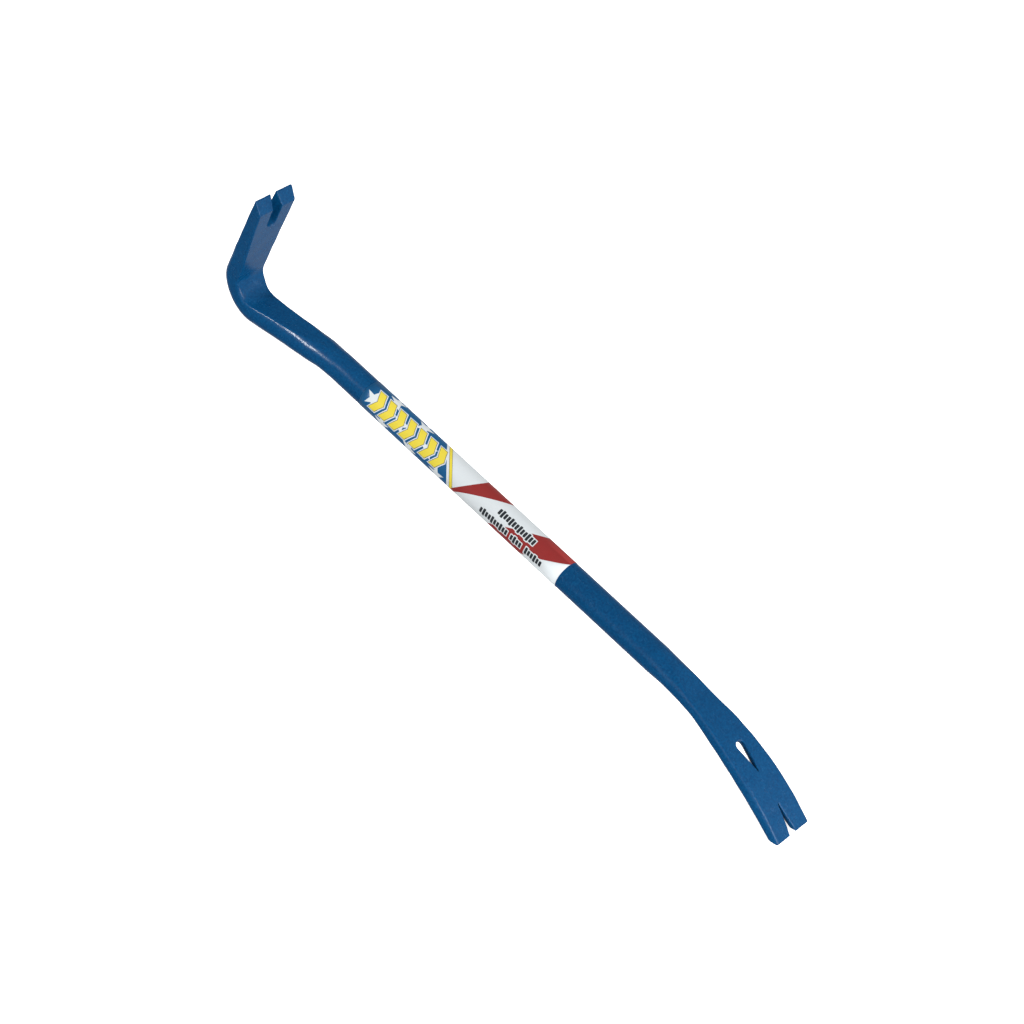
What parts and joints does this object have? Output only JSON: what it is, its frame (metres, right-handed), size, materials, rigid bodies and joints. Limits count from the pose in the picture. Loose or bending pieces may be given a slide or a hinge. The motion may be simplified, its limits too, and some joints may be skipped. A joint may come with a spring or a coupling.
{
  "type": "pry bar",
  "caption": "Gooseneck wrecking bar with a hooked nail claw, a long round shaft in a printed wrap, and a curved flat blade with a V notch and a teardrop nail eye.",
  "frame": {"origin": "on the shaft axis, halfway along the bar's overall length", "axes": "+X along the shaft from the hook to the blade, +Y across the width of both claws, +Z towards the side the hook rises to"},
  "size_m": [0.6159, 0.0364, 0.145],
  "materials": {
    "blue_enamel": "satin",
    "printed_film": "gloss"
  },
  "bodies": {
    "root": {"forged_bar": "blue_enamel", "label": "printed_film"}
  },
  "joints": []
}
